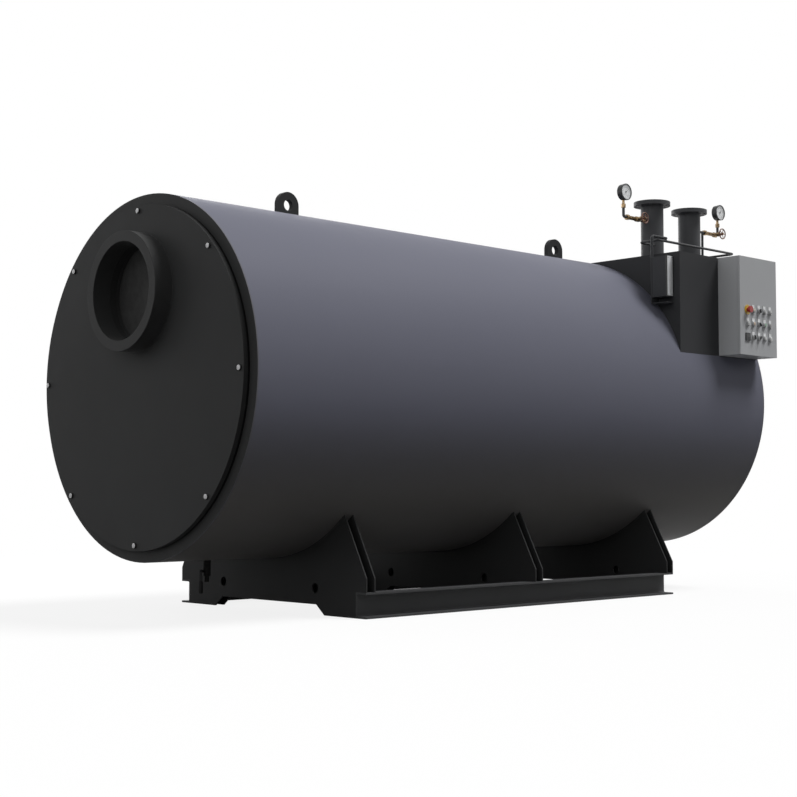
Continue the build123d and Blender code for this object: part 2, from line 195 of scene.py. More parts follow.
def paint(name, tone, roughness=0.5, mottle=0.05, peel=0.00004, dust=0.05, edge=0.0015,
          gloss=0.15, rim=None):
    # sprayed paint: slow drifts of tone, a fine orange peel, a little dust on what faces up, rim tones
    shade = Shade(name)
    drift = shade.noise(1.3, 3.0)
    grime = shade.noise(9.0, 4.0, 0.6)
    peelWave = shade.noise(420.0, 1.0)
    base = shade.mix(drift.above(0.5, 0.5), scaled(tone, 1 - mottle), scaled(tone, 1 + mottle))
    if rim:
        base = rimTones(shade, base, rim)
    facing = shade.node("ShaderNodeNewGeometry", output="Normal")
    upward = shade.node("ShaderNodeSeparateXYZ", None, {0: facing}, 2)
    dusty = upward.above(0.75, 0.5) * grime.above(0.5, 0.4) * dust
    return shade.finish(
        Base_Color=shade.mix(dusty, base, dustTone),
        Roughness=varied(roughness, grime, 0.12),
        Specular_IOR_Level=gloss,
        Normal=shade.bump(peelWave, peel, 0.6, shade.rounded(edge)),
    )


def powderCoat(name, tone, grain=0.00009, gloss=0.2):
    # powder coat: a fine pebbled skin with tiny darker pits and an even tone
    shade = Shade(name)
    pebble = shade.noise(900.0, 2.0, 0.6)
    cloud = shade.noise(3.0, 3.0)
    base = shade.mix(cloud.above(0.5, 0.6), scaled(tone, 0.98), scaled(tone, 1.02))
    pits = pebble.below(0.38, 0.1) * 0.25
    return shade.finish(
        Base_Color=shade.mix(pits, base, scaled(tone, 0.75)),
        Roughness=varied(0.55, pebble, 0.12),
        Specular_IOR_Level=gloss,
        Normal=shade.bump(pebble, grain, 0.7, shade.rounded(0.002)),
    )


def sheetFinish(name, sheet):
    # coated sheet: a satin coat with faint rolled waves and a fine grain, cooler above than below,
    # where a warmer tone is painted floor bounce light on the underside
    shade = Shade(name)
    drift = shade.noise(0.8, 2.0)
    rolled = shade.noise(1.0, 2.0, 0.5, shade.stretched((0.5, 5.0, 5.0)))
    grain = shade.noise(520.0, 1.0)
    smudge = shade.noise(6.0, 5.0, 0.6)
    cool = shade.mix(drift.above(0.5, 0.6), sheet["tone"], sheet["toneDrift"])
    # painted light: below the axis the coat turns a warm grey, standing in for the floor's warm bounce
    # light on the underside
    base = shade.mix(shade.z.below(axisZ - sheet["drop"], sheet["blend"]), cool, sheet["paintedBounceToneBelow"])
    return shade.finish(
        Base_Color=shade.mix(smudge.above(0.62, 0.3) * 0.05, base, scaled(sheet["tone"], 1.4)),
        Roughness=varied(sheet["roughness"], smudge, 0.12),
        Specular_IOR_Level=sheet["gloss"],
        Normal=shade.bump(rolled, sheet["wave"], 1.0, shade.bump(grain, sheet["grain"], 0.5)),
    )


def castMetal(name, tone, darkTone, roughness=0.34, metallic=0.9, gloss=0.5):
    # cast and turned metal: clouds of tarnish, duller as they darken, over a grainy skin
    shade = Shade(name)
    tarnish = shade.noise(60.0, 4.0, 0.65)
    skin = shade.noise(900.0, 2.0)
    return shade.finish(
        Base_Color=shade.mix(tarnish.above(0.52, 0.3), tone, darkTone),
        Metallic=metallic,
        Specular_IOR_Level=gloss,
        Roughness=roughness + tarnish * 0.25 - 0.1,
        Normal=shade.bump(skin, 0.00006, 0.7, shade.rounded(0.0008)),
    )


def plastic(name, tone, roughness, gloss=0.4):
    # moulded plastic: an even tone with a very fine grain from its mould
    shade = Shade(name)
    grain = shade.noise(2600.0, 1.0)
    drift = shade.noise(40.0, 2.0)
    return shade.finish(
        Base_Color=shade.mix(drift.above(0.5, 0.6), scaled(tone, 0.96), scaled(tone, 1.08)),
        Roughness=varied(roughness, grain, 0.08),
        Specular_IOR_Level=gloss,
        Normal=shade.bump(grain, 0.00002, 0.5),
    )


def lens(name, tone, ribTurn=2200.0):
    # lamp lens: clear coat over a tone that deepens in small ribs, the sine of x times ribTurn
    shade = Shade(name)
    ribs = (shade.x * ribTurn).math("SINE") * 0.5 + 0.5
    return shade.finish(
        Base_Color=shade.mix(ribs * 0.5, tone, scaled(tone, 0.6)),
        Roughness=0.12 + ribs * 0.1,
        Coat_Weight=0.4 + ribs * 0.2,
        Normal=shade.bump(ribs, 0.0001, 0.5),
    )


def platedSteel(name, tone, roughness, metallic, gloss=0.5):
    # zinc-plated steel: a cloudy spangle with fine drawn lines
    shade = Shade(name)
    cloud = shade.noise(140.0, 3.0, 0.6)
    lines = shade.noise(900.0, 1.0, 0.5, shade.stretched((1.0, 0.1, 1.0)))
    return shade.finish(
        Base_Color=shade.mix(cloud.above(0.5, 0.4), scaled(tone, 0.75), tone),
        Metallic=metallic,
        Specular_IOR_Level=gloss,
        Roughness=varied(roughness, cloud, 0.16),
        Normal=shade.bump(lines, 0.00002, 0.5),
    )


def millScale(name, tone):
    # bare plate inside the flue and the burner opening: flat dark scale with a paler bloom
    shade = Shade(name)
    bloom = shade.noise(5.0, 5.0, 0.65)
    scale = shade.noise(160.0, 3.0)
    return shade.finish(
        Base_Color=shade.mix(bloom.above(0.55, 0.35), tone, scaled(tone, 1.5)),
        Roughness=0.8 + scale * 0.15 - 0.07,
        Specular_IOR_Level=0.1,
        Normal=shade.bump(scale, 0.0002, 0.6),
    )


def glowingDialFace(name, tone, glow):
    # printed dial card under glass: matt white with a faint paper grain, and a painted glow in its own
    # colour, as strong as glow, that makes it brighter than its light does
    shade = Shade(name)
    grain = shade.noise(1500.0, 2.0)
    card = shade.mix(grain.above(0.5, 0.5), scaled(tone, 0.97), tone)
    return shade.finish(
        Base_Color=card,
        Emission_Color=card,
        Emission_Strength=glow,
        Roughness=0.6 + grain * 0.1,
    )


def glassFinish(name):
    # gauge glass: nearly clear, with a faint grey film that is thicker in places
    shade = Shade(name)
    film = shade.noise(45.0, 3.0)
    return shade.finish(
        Base_Color=shade.mix(film, (0.75, 0.77, 0.78), (0.9, 0.92, 0.92)),
        Roughness=0.05 + film * 0.06,
        Alpha=0.08 + film * 0.06,
    )


# where barrel, plate and head part, out from the door's face along y
depths = {"door": 0.0002, "plate": -0.0023, "soft": 0.0001}


def deviceFinish(name, tones, face, coat):
    # a device is one solid through the door: by depth it is barrel, plate at the door, then the head
    shade = Shade(name)
    grain = shade.noise(2200.0, 1.0)
    beforeDoor = shade.y.below(face + depths["door"], depths["soft"])
    beforePlate = shade.y.below(face + depths["plate"], depths["soft"])
    base = shade.mix(beforePlate, shade.mix(beforeDoor, tones["barrel"], tones["plate"]), tones["head"])
    return shade.finish(
        Base_Color=base,
        Roughness=0.3 + grain * 0.06,
        Coat_Weight=beforePlate * coat,
        Normal=shade.bump(grain, 0.00002, 0.4, shade.rounded(0.002)),
    )


def edgedCover(name, tones, low, high):
    # pale sheet between a dark edge strip and a darker seam, by the distance from each end of its width
    shade = Shade(name)
    grain = shade.noise(700.0, 2.0)
    cloud = shade.noise(6.0, 3.0)
    left, right = tones["margins"]
    soft = tones["soft"]
    inside = shade.x.above(low + left, soft) * shade.x.below(high - right, soft)
    face = shade.mix(cloud.above(0.5, 0.5), tones["face"], scaled(tones["face"], 0.97))
    ends = shade.mix(shade.x.above(high - right, soft), tones["edge"], tones["seam"])
    return shade.finish(
        Base_Color=shade.mix(inside, ends, face),
        Roughness=0.3 + grain * 0.1,
        Normal=shade.bump(grain, 0.00003, 0.5, shade.rounded(0.001)),
    )


# the tone below the axis is painted bounce light on the shell's underside, not a second paint
sheet = {
    "tone": (0.158, 0.162, 0.204), "toneDrift": (0.164, 0.168, 0.210),
    "paintedBounceToneBelow": (0.156, 0.151, 0.147), "drop": 0.38, "blend": 0.5,
    "roughness": 0.52, "gloss": 0.06, "wave": 0.0010, "grain": 0.00003,
}
stop = {"barrel": (0.02, 0.02, 0.021), "plate": (0.62, 0.42, 0.04), "head": (0.40, 0.012, 0.008)}
button = {"barrel": (0.03, 0.03, 0.032), "plate": (0.34, 0.345, 0.35), "head": (0.42, 0.425, 0.43)}
cover = {"face": (0.95, 0.97, 0.99), "edge": (0.022, 0.0225, 0.023), "seam": (0.004, 0.004, 0.004),
         "margins": (0.012, 0.006), "soft": 0.0008}
coverLow, coverHigh = corners("instrument_cover")
flueCover, burnerCover = corners("flue_end_cover"), corners("burner_end_cover")
# a rim's tones start a little inside its edge; the covers' seams run along their inner ends as a
# painted shadow in the gap at each ring, and the covers' rim tone is painted shading of their side
# walls
shadowSeamWidth = 0.011
rimInset = {"cover": 0.001, "ring": 0.0008}
# painted light and shade: the cover's side wall gets a tone set for how lit it looks, and its last band
# by the ring a near-black painted shadow
coverRimShading = {
    "tone": (0.039, 0.0395, 0.040), "seam": (0.005, 0.005, 0.005), "seamSoft": 0.002,
    "from": flueCover[1][0] - shadowSeamWidth, "to": burnerCover[0][0] + shadowSeamWidth,
    "radius": (flueCover[1][2] - flueCover[0][2]) / 2 - rimInset["cover"], "soft": 0.0005,
}
ringRim = {"tone": (0.150, 0.150, 0.165), "radius": shellRadius - rimInset["ring"], "soft": 0.0005}
endTone = (0.046, 0.0465, 0.047)
endCoat = {"roughness": 0.55, "edge": 0.0004, "gloss": 0.05}
finishes = {
    "cladding": sheetFinish("satinCladding", sheet),
    "collar": paint("charcoalCollarPaint", (0.057, 0.0575, 0.058), 0.55, edge=0.004, gloss=0.05),
    "end": paint("charcoalEndPaint", endTone, **endCoat),
    "endCover": paint("charcoalCoverPaint", endTone, rim=coverRimShading, **endCoat),
    "endRing": paint("charcoalRingPaint", endTone, rim=ringRim, **endCoat),
    "header": paint("charcoalHeaderPaint", (0.050, 0.051, 0.054), 0.55, gloss=0.08),
    # painted shade: the bolt collars' near-black stands in for the shaded sides of the bolts
    "dark": paint("boltCollarPaintedShade", (0.014, 0.0142, 0.0145), edge=0.0005),
    "beam": paint("blackBeamPaint", (0.060, 0.061, 0.063), mottle=0.08, dust=0.0),
    "saddle": paint("blackSaddlePaint", (0.034, 0.0343, 0.035), 0.55, mottle=0.08, gloss=0.08),
    "pipe": paint("nozzlePaint", (0.082, 0.084, 0.089), edge=0.003),
    "tube": paint("tubePaint", (0.088, 0.089, 0.092), 0.45, edge=0.001),
    "cabinet": powderCoat("cabinetPowderCoat", (0.505, 0.515, 0.530)),
    "instrument": paint("instrumentPaint", (0.056, 0.058, 0.062), 0.55),
    "cover": edgedCover("instrumentCoverPaint", cover, coverLow[0], coverHigh[0]),
    "scale": millScale("flueScale", (0.044, 0.044, 0.044)),
    "case": paint("gaugeCaseEnamel", (0.038, 0.039, 0.041), 0.35, edge=0.0006, gloss=0.3),
    # painted light: the dial card glows a little though it is no lamp
    "dial": glowingDialFace("glowingDialCard", (0.80, 0.81, 0.82), glow=0.22),
    "print": plastic("dialPrint", (0.30, 0.30, 0.31), 0.6, gloss=0.2),
    "ink": plastic("needleEnamel", (0.016, 0.016, 0.017), 0.6, gloss=0.2),
    "glass": glassFinish("gaugeGlass"),
    "brass": castMetal("agedBrass", (0.34, 0.235, 0.125), (0.09, 0.063, 0.037)),
    "handwheel": castMetal("copperRedEnamel", (0.20, 0.088, 0.055), (0.09, 0.04, 0.027),
                           0.5, metallic=0.15),
    "devices": deviceFinish("devicePlastic", button, doorFace, coat=0.0),
    "button": plastic("buttonPlastic", (0.045, 0.046, 0.048), 0.42),
    "bezel": plastic("bezelPlastic", (0.46, 0.465, 0.47), 0.35),
    "label": plastic("labelPlastic", (0.86, 0.87, 0.88), 0.45),
    "controller": plastic("controllerPlastic", (0.022, 0.023, 0.025), 0.5),
    "screen": plastic("controllerScreen", (0.006, 0.007, 0.008), 0.12, gloss=0.5),
    "zinc": platedSteel("zincBolt", (0.62, 0.62, 0.63), 0.5, metallic=0.2),
    "steel": platedSteel("leverSteel", (0.016, 0.016, 0.0165), 0.6, metallic=0.2, gloss=0.1),
    "drain": castMetal("drainValveCoat", (0.015, 0.0148, 0.0145), (0.010, 0.010, 0.010),
                       0.6, metallic=0.1, gloss=0.08),
    "grip": plastic("gripPlastic", (0.010, 0.010, 0.0105), 0.65, gloss=0.06),
    "stop": deviceFinish("emergencyStopPlastic", stop, doorFace, coat=0.1),
}
lensTones = {
    "cream": (0.66, 0.62, 0.50), "clear": (0.58, 0.59, 0.59), "pearl": (0.66, 0.67, 0.67),
    "amber": (0.56, 0.42, 0.30), "green": (0.32, 0.50, 0.38), "smoke": (0.44, 0.44, 0.45),
}
for lensName, lensTone in lensTones.items():
    finishes[lensName] = lens(lensName + "Lens", lensTone)

nodeFinish = {
    "boiler_shell": "cladding", "flue_collar": "collar",
    "flue_inner_wall": "scale", "burner_inner_wall": "scale",
    "flue_end_cover": "endCover", "burner_end_cover": "endCover",
    "flue_end_ring": "endRing", "burner_end_ring": "endRing",
    "header_box": "header", "instrument_box": "instrument", "instrument_bracket": "instrument",
    "instrument_cover": "cover", "instrument_line": "instrument", "nozzle_link_tube": "tube",
    "gauge_2_supply": "tube", "cabinet_box": "cabinet", "cabinet_door": "cabinet",
    "emergency_stop": "stop", "door_devices": "devices", "door_controller": "controller",
    "drain_valve": "drain", "drain_lever": "steel",
}
startFinish = {
    "flue_": "end", "burner_": "end", "lifting_": "end", "nozzle_": "pipe",
    "saddle_": "saddle", "base_beam_": "beam",
}
endFinish = {
    "_case": "case", "_dial": "dial", "_stem": "brass", "_valve": "brass", "_wheel": "handwheel",
    "_riser": "tube",
}


def finishOf(node):
    # a node's own finish, or else the one for its family by the start or end of its name
    if node in nodeFinish:
        return nodeFinish[node]
    for start, finish in startFinish.items():
        if node.startswith(start):
            return finish
    return next(finish for end, finish in endFinish.items() if node.endswith(end))


for nodeName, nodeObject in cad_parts.items():
    for materialSlot in nodeObject.material_slots:
        materialSlot.material = finishes[finishOf(nodeName)]
print("finishes on all CAD nodes")


# shapes as arrays

def gridFaces(rows, around, loop=False):
    # quads between neighbouring rows, joined round, and from the last row to the first in a loop
    row, column = np.meshgrid(np.arange(rows if loop else rows - 1), np.arange(around), indexing="ij")
    nextRow, nextColumn = (row + 1) % rows, (column + 1) % around
    quads = (row * around + column, row * around + nextColumn,
             nextRow * around + nextColumn, nextRow * around + column)
    return np.stack(quads, -1).reshape(-1, 4)


def turn(profile, around, loop=False):
    # each profile point (r, h) goes round the axis: (r cos a, r sin a, h); ends on the axis are closed
    angles = np.linspace(0, 2 * np.pi, around, endpoint=False)
    profile = np.array(profile, float)
    radius = profile[:, 0][:, None]
    height = np.repeat(profile[:, 1][:, None], around, 1)
    points = np.stack([radius * np.cos(angles), radius * np.sin(angles), height], -1).reshape(-1, 3)
    return points, gridFaces(len(profile), around, loop)


def pile(outline, levels):
    # a flat outline at each level (height, growth), scaled by its growth, with both ends closed
    outline = np.array(outline, float)
    count = len(outline)
    rings = [np.column_stack([outline * growth, np.full(count, height)]) for height, growth in levels]
    last = count * (len(levels) - 1)
    ends = [list(range(count))[::-1], list(range(last, last + count))]
    return np.concatenate(rings), gridFaces(len(levels), count), ends


def bars(angles, inner, outer, width, height):
    # a box on the ray at each angle, from inner to outer, width across it and height thick
    radial = np.stack([np.cos(angles), np.sin(angles)], -1)
    across = np.stack([-np.sin(angles), np.cos(angles)], -1)
    flat = [radial * reach + across * side * width / 2
            for reach, side in ((inner, -1), (outer, -1), (outer, 1), (inner, 1))]
    flat = np.stack(flat, 1)
    levels = [np.concatenate([flat, np.full(flat.shape[:2] + (1,), level)], -1)
              for level in (0, height)]
    points = np.concatenate(levels, 1).reshape(-1, 3)
    sides = np.array([[0, 3, 2, 1], [4, 5, 6, 7], [0, 1, 5, 4],
                      [1, 2, 6, 5], [2, 3, 7, 6], [3, 0, 4, 7]])
    return points, (np.arange(len(angles))[:, None, None] * 8 + sides).reshape(-1, 4)


def ring(radius, count, start=0.0, end=360.0, whole=True):
    # points on a circle at equal angles, or on an arc with its end
    angles = np.radians(np.linspace(start, end, count, endpoint=not whole))
    return np.column_stack([radius * np.cos(angles), radius * np.sin(angles)])


def roundedBox(width, height, radius, perCorner=5):
    # four quarter circles round the corners of a rectangle
    centres = np.array([[1, 1], [-1, 1], [-1, -1], [1, -1]]) * (width / 2 - radius, height / 2 - radius)
    quarters = [centre + ring(radius, perCorner, 90 * k, 90 * k + 90, whole=False)
                for k, centre in enumerate(centres)]
    return np.concatenate(quarters)


def turned(outline, degrees):
    # a flat outline turned anticlockwise about its origin
    angle = math.radians(degrees)
    spin = np.array([[math.cos(angle), math.sin(angle)], [-math.sin(angle), math.cos(angle)]])
    return outline @ spin


def crown(radius, foot, rise, count):
    # a quarter ellipse as a profile, from the rim at height foot to the axis at foot + rise
    sweep = np.linspace(0, np.pi / 2, count)
    return list(zip(radius * np.cos(sweep), foot + rise * np.sin(sweep)))


def evenly(path, step):
    # the same closed path with points one step apart along its length
    path = np.vstack([path, path[:1]])
    reach = np.concatenate([[0], np.cumsum(np.linalg.norm(np.diff(path, axis=0), axis=1))])
    places = np.linspace(0, reach[-1], int(reach[-1] / step), endpoint=False)
    return np.column_stack([np.interp(places, reach, path[:, k]) for k in range(path.shape[1])])


def bead(path, radius, normal, loop=True, pitch=0.008, ripple=0.1, around=8):
    # a bar along the path whose radius swells by the ripple's share every pitch, as a weld's does
    path = np.array(path, float)
    ahead = np.roll(path, -1, 0) - np.roll(path, 1, 0) if loop else np.gradient(path, axis=0)
    across = np.cross(ahead, np.array(normal, float))
    across /= np.linalg.norm(across, axis=1)[:, None]
    third = np.cross(ahead, across)
    third /= np.linalg.norm(third, axis=1)[:, None]
    travelled = np.cumsum(np.linalg.norm(np.diff(path, axis=0, prepend=path[:1]), axis=1))
    swell = radius * (1 + ripple * np.sin(2 * np.pi * travelled / pitch))
    if not loop:
        swell[[0, -1]] = 0
    angles = np.linspace(0, 2 * np.pi, around, endpoint=False)
    rays = across[:, None] * np.cos(angles)[:, None] + third[:, None] * np.sin(angles)[:, None]
    points = (path[:, None] + swell[:, None, None] * rays).reshape(-1, 3)
    return points, gridFaces(len(path), around, loop)


def stand(shape, origin, right, upward, out):
    # local (x, y, z) goes to origin + x right + y upward + z out
    points, *faces = shape
    return (points @ np.array([right, upward, out], float) + np.array(origin, float), *faces)


def words(text, height, depth):
    # flat figures as a thin solid, depth to each side, centred on their own middle
    curve = bpy.data.curves.new("figures", "FONT")
    curve.body = text
    curve.size = height
    curve.extrude = depth
    curve.resolution_u = 3
    holder = bpy.data.objects.new("figures", curve)
    mesh = bpy.data.meshes.new_from_object(holder)
    points = np.empty(len(mesh.vertices) * 3)
    mesh.vertices.foreach_get("co", points)
    points = points.reshape(-1, 3)
    points[:, :2] -= (points[:, :2].min(0) + points[:, :2].max(0)) / 2
    faces = [list(face.vertices) for face in mesh.polygons]
    bpy.data.objects.remove(holder)
    bpy.data.curves.remove(curve)
    bpy.data.meshes.remove(mesh)
    return points, faces


def cleaned(mesh):
    # merges doubles and poles, then turns all faces outwards
    work = bmesh.new()
    work.from_mesh(mesh)
    bmesh.ops.remove_doubles(work, verts=work.verts, dist=1e-7)
    bmesh.ops.dissolve_degenerate(work, edges=work.edges, dist=1e-8)
    bmesh.ops.recalc_face_normals(work, faces=work.faces)
    work.to_mesh(mesh)
    work.free()


sharpAngle = math.radians(35)


def build(name, parts, finish, body="boiler"):
    # joins (points, faces...) parts into one mesh, smooth but for edges over the sharp angle
    vertices, faces, offset = [], [], 0
    for points, *faceSets in parts:
        vertices.append(points)
        for faceSet in faceSets:
            faces += [[offset + int(corner) for corner in face] for face in faceSet]
        offset += len(points)
    mesh = bpy.data.meshes.new(name)
    mesh.from_pydata(np.concatenate(vertices).tolist(), [], faces)
    mesh.validate()
    cleaned(mesh)
    mesh.materials.append(finishes[finish])
    mesh.shade_smooth()
    mesh.set_sharp_from_angle(angle=sharpAngle)
    piece = bpy.data.objects.new(name, mesh)
    bpy.context.collection.objects.link(piece)
    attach(piece, body)


# bolts of the end covers

bolt = {
    "circleRadius": 0.807, "count": 8, "around": 20,
    "collarRadius": 0.0130, "collarRise": 0.0085, "collarChamfer": 0.001, "sunk": 0.0005,
    "headRadius": 0.0122, "headRise": 0.0025, "washerRadius": 0.0122, "washerRise": 0.0,
    "rimRise": 0.0012,
}


def domedHead(size, foot=0.0):
    # washer, rim, then a crown over the rim, all from foot upwards
    washerTop = foot + size["washerRise"]
    base = [(0, foot), (size["washerRadius"], foot), (size["washerRadius"], washerTop),
            (size["headRadius"], washerTop)]
    return base + crown(size["headRadius"], washerTop + size["rimRise"], size["headRise"], 7)


def coverBolts(name, faceX, out):
    # at equal angles, the first at the top, a near-black collar with a bright head in it; the collar's
    # dark sides are painted shade on the bolts
    rim, rise, chamfer = bolt["collarRadius"], bolt["collarRise"], bolt["collarChamfer"]
    profile = [(0, 0), (rim, 0), (rim, rise - chamfer), (rim - chamfer, rise), (0, rise)]
    collar = turn(profile, bolt["around"])
    head = turn(domedHead(bolt, rise - bolt["sunk"]), bolt["around"])
    circle = ring(bolt["circleRadius"], bolt["count"], 90, 450)
    places = [(faceX, axisY + y, axisZ + z) for y, z in circle]
    build(name + "Collars", [stand(collar, place, north, up, out) for place in places],
          "dark")
    build(name, [stand(head, place, north, up, out) for place in places], "zinc")


coverBolts("flueCoverBolts", flueCover[0][0], west)
coverBolts("burnerCoverBolts", burnerCover[1][0], east)
print("cover bolts set")


# welds

weld = {
    "small": 0.0035, "large": 0.005, "step": 0.004, "margin": 0.001, "corner": 0.004,
    "saddleReach": 41.5, "saddlePoints": 330,      # degrees to each side of the lowest point
}


def roundPath(centre, radius, right, upward, chords=96):
    # points one step apart on a circle about centre that is drawn with that many chords
    flat = evenly(ring(radius, chords), weld["step"])
    return flat @ np.array([right, upward], float) + np.array(centre, float)


def onShell(x, y, side=1):
    # points of the plan put on the upper (side 1) or lower (side -1) half of the shell's circle
    return np.column_stack([x, y, axisZ + side * np.sqrt(shellRadius**2 - (y - axisY)**2)])


def lugWeld(node):
    # round the foot of a lug, laid on the shell's crest
    low, high = corners(node)
    width, length = (high - low)[:2] + 2 * weld["margin"]
    outline = evenly(roundedBox(width, length, weld["corner"]), weld["step"])
    outline += middle(node)[:2]
    return bead(onShell(outline[:, 0], outline[:, 1]), weld["large"], up)


def saddleWeld(x):
    # along the arc where a saddle's plate meets the shell
    reach = weld["saddleReach"]
    angles = np.radians(np.linspace(-reach, reach, weld["saddlePoints"]))
    y = axisY + shellRadius * np.sin(angles)
    return bead(onShell(np.full(len(y), x), y, side=-1), weld["large"], east, loop=False)


build("lugWelds", [lugWeld("lifting_lug_front"), lugWeld("lifting_lug_rear")], "end")
collarLow, collarHigh = corners("flue_collar")
collarRadius = (collarHigh[2] - collarLow[2]) / 2
collarPlace = (collarHigh[0], axisY, middle("flue_collar")[2])
build("flueCollarWeld", [bead(roundPath(collarPlace, collarRadius, north, up), weld["small"], east)],
      "end")

# strip that lines the step between the flue's bore and the wall behind it
liner = {"inner": 0.2386, "thick": 0.004, "around": 96}
linerStart = flueCover[1][0]
linerReach = corners("flue_inner_wall")[0][0] - linerStart
inner, outer = liner["inner"], liner["inner"] + liner["thick"]
linerProfile = [(outer, 0), (outer, linerReach), (inner, linerReach), (inner, 0)]
strip = turn(linerProfile, liner["around"], loop=True)
build("flueLiner", [stand(strip, (linerStart, *collarPlace[1:]), north, up, east)],
      "collar")

flangeLow, flangeHigh = corners("burner_flange")
flangePlace = (flangeLow[0], axisY, middle("burner_flange")[2])
flangeRadius = (flangeHigh[2] - flangeLow[2]) / 2
build("burnerFlangeWeld", [bead(roundPath(flangePlace, flangeRadius, north, up), weld["small"], east)],
      "end")

nozzleWelds = []
headerTop = corners("header_box")[1][2]
for number in "12":
    pipeLow, pipeHigh = corners("nozzle_" + number + "_pipe")
    pipeRadius = (pipeHigh[0] - pipeLow[0]) / 2
    for level in (headerTop, pipeHigh[2]):
        place = (*middle("nozzle_" + number + "_pipe")[:2], level)
        nozzleWelds.append(bead(roundPath(place, pipeRadius, east, north), weld["small"], up))
build("nozzleWelds", nozzleWelds, "pipe")

saddleWelds = []
for place in ("front", "middle", "rear"):
    saddleLow, saddleHigh = corners("saddle_" + place)
    saddleWelds += [saddleWeld(saddleLow[0]), saddleWeld(saddleHigh[0])]
build("saddleWelds", saddleWelds, "saddle")
print("welds laid")


# gauge dials

dial = {
    "start": 225.0, "sweep": 270.0, "steps": 50, "perFigure": 10,
    "outer": 0.0415, "short": 0.0028, "long": 0.0055, "thin": 0.0004, "thick": 0.0009, "height": 0.0002,
    "figureRing": 0.0300, "figureHeight": 0.0085, "figureDepth": 0.00012,
    "figures": {"1": ("0", "2", "4", "6", "8", "10"), "2": ("0", "20", "40", "60", "80", "100")},
}
needle = {"angle": 42.0, "tip": 0.030, "tail": 0.011, "width": 0.0030, "taper": 5,
          "gap": 0.0020, "thick": 0.0006,
          "hub": 0.0042, "hubRise": 0.0014, "hubSlope": 0.0006, "hubSlopeIn": 0.0008}
glass = {"gap": 0.0048, "thick": 0.0012, "around": 48}


def dialMarks(gauge):
    # marks at equal steps clockwise over the sweep, long and thick with a figure at every perFigure
    steps = np.arange(dial["steps"] + 1)
    angles = np.radians(dial["start"] - dial["sweep"] * steps / dial["steps"])
    isLong = steps % dial["perFigure"] == 0
    outer = dial["outer"]
    kinds = ((~isLong, dial["short"], dial["thin"]), (isLong, dial["long"], dial["thick"]))
    parts = [bars(angles[chosen], outer - length, outer, width, dial["height"])
             for chosen, length, width in kinds]
    for angle, text in zip(angles[isLong], dial["figures"][gauge]):
        points, faces = words(text, dial["figureHeight"], dial["figureDepth"])
        reach = dial["figureRing"]
        offset = (reach * np.cos(angle), reach * np.sin(angle), dial["figureDepth"])
        parts.append((points + offset, faces))
    return parts


def needleShape():
    # a blade that narrows to its tip, with a blunt tail, turned to its angle
    half = needle["width"] / 2
    tipHalf = half / needle["taper"]
    blade = np.array([(-needle["tail"], -half), (needle["tip"], -tipHalf), (needle["tip"], tipHalf),
                      (-needle["tail"], half)])
    levels = [(needle["gap"], 1), (needle["gap"] + needle["thick"], 1)]
    return pile(turned(blade, needle["angle"]), levels)


hubTop = needle["gap"] + needle["thick"] + needle["hubRise"]
hub = [(0, 0), (needle["hub"], 0), (needle["hub"], hubTop - needle["hubSlope"]),
       (needle["hub"] - needle["hubSlopeIn"], hubTop), (0, hubTop)]
for number in "12":
    dialLow, dialHigh = corners("gauge_" + number + "_dial")
    dialMiddle = (dialLow + dialHigh) / 2
    face = (dialMiddle[0], dialLow[1], dialMiddle[2])
    glassRadius = (dialHigh[0] - dialLow[0]) / 2
    inside, outside = glass["gap"], glass["gap"] + glass["thick"]
    pane = turn([(0, inside), (glassRadius, inside), (glassRadius, outside), (0, outside)],
                glass["around"])
    marks = [stand(shape, face, east, up, south) for shape in dialMarks(number)]
    pointer = [stand(shape, face, east, up, south) for shape in (needleShape(), turn(hub, around=24))]
    build("gauge" + number + "Marks", marks, "print")
    build("gauge" + number + "Needle", pointer, "ink")
    build("gauge" + number + "Glass", [stand(pane, face, east, up, south)], "glass")
print("gauge dials printed")


# nuts on the handwheels and the drain lever, and the lever's sleeve

nut = {"flats": 0.009, "rise": 0.004, "chamfer": 0.0006,
       "stud": 0.0022, "studRise": 0.0014, "studTip": 0.8}
sleeve = {
    "width": 0.0235, "thick": 0.009, "length": 0.062, "round": 0.006, "overhang": 0.0015,
    "levels": [(-0.5, 0.9), (-0.36, 1), (0.36, 1), (0.5, 0.9)],      # shares of thick, with growths
}


def hexNut(size):
    # six-sided prism with its front edge taken off, and the end of its stud
    corner = size["flats"] / 2 / math.cos(math.radians(30))
    rise, radius = size["rise"], size["stud"]
    body = turn([(0, 0), (corner, 0), (corner, rise - size["chamfer"]),
                 (corner - size["chamfer"], rise), (0, rise)], around=6)
    top = rise + size["studRise"]
    stud = turn([(0, rise), (radius, rise), (radius * size["studTip"], top), (0, top)], around=16)
    return [body, stud]


for number in "12":
    wheelLow = corners("gauge_" + number + "_wheel")[0]
    wheelMiddle = middle("gauge_" + number + "_wheel")
    place = (wheelMiddle[0], wheelLow[1], wheelMiddle[2])
    parts = [stand(shape, place, east, up, south) for shape in hexNut(nut)]
    build("handwheel" + number + "Nut", parts, "brass", "gauge_" + number + "_handwheel")

leverLow, leverHigh = corners("drain_lever")
leverMiddle = (leverLow + leverHigh) / 2
eyeHeight = leverHigh[2] - (leverHigh[1] - leverLow[1]) / 2
eyePlace = (leverLow[0], leverMiddle[1], eyeHeight)
parts = [stand(shape, eyePlace, north, up, west) for shape in hexNut(nut)]
build("drainLeverNut", parts, "steel", "drain_handle")
sleeveLevels = [(share * sleeve["thick"], growth) for share, growth in sleeve["levels"]]
grip = pile(roundedBox(sleeve["width"], sleeve["length"], sleeve["round"]), sleeveLevels)
gripHeight = leverLow[2] + sleeve["length"] / 2 - sleeve["overhang"]
gripPlace = (leverMiddle[0], leverMiddle[1], gripHeight)
build("drainLeverSleeve", [stand(grip, gripPlace, north, up, west)], "grip",
      "drain_handle")
print("nuts and sleeve fitted")


# screws of the instrument cover

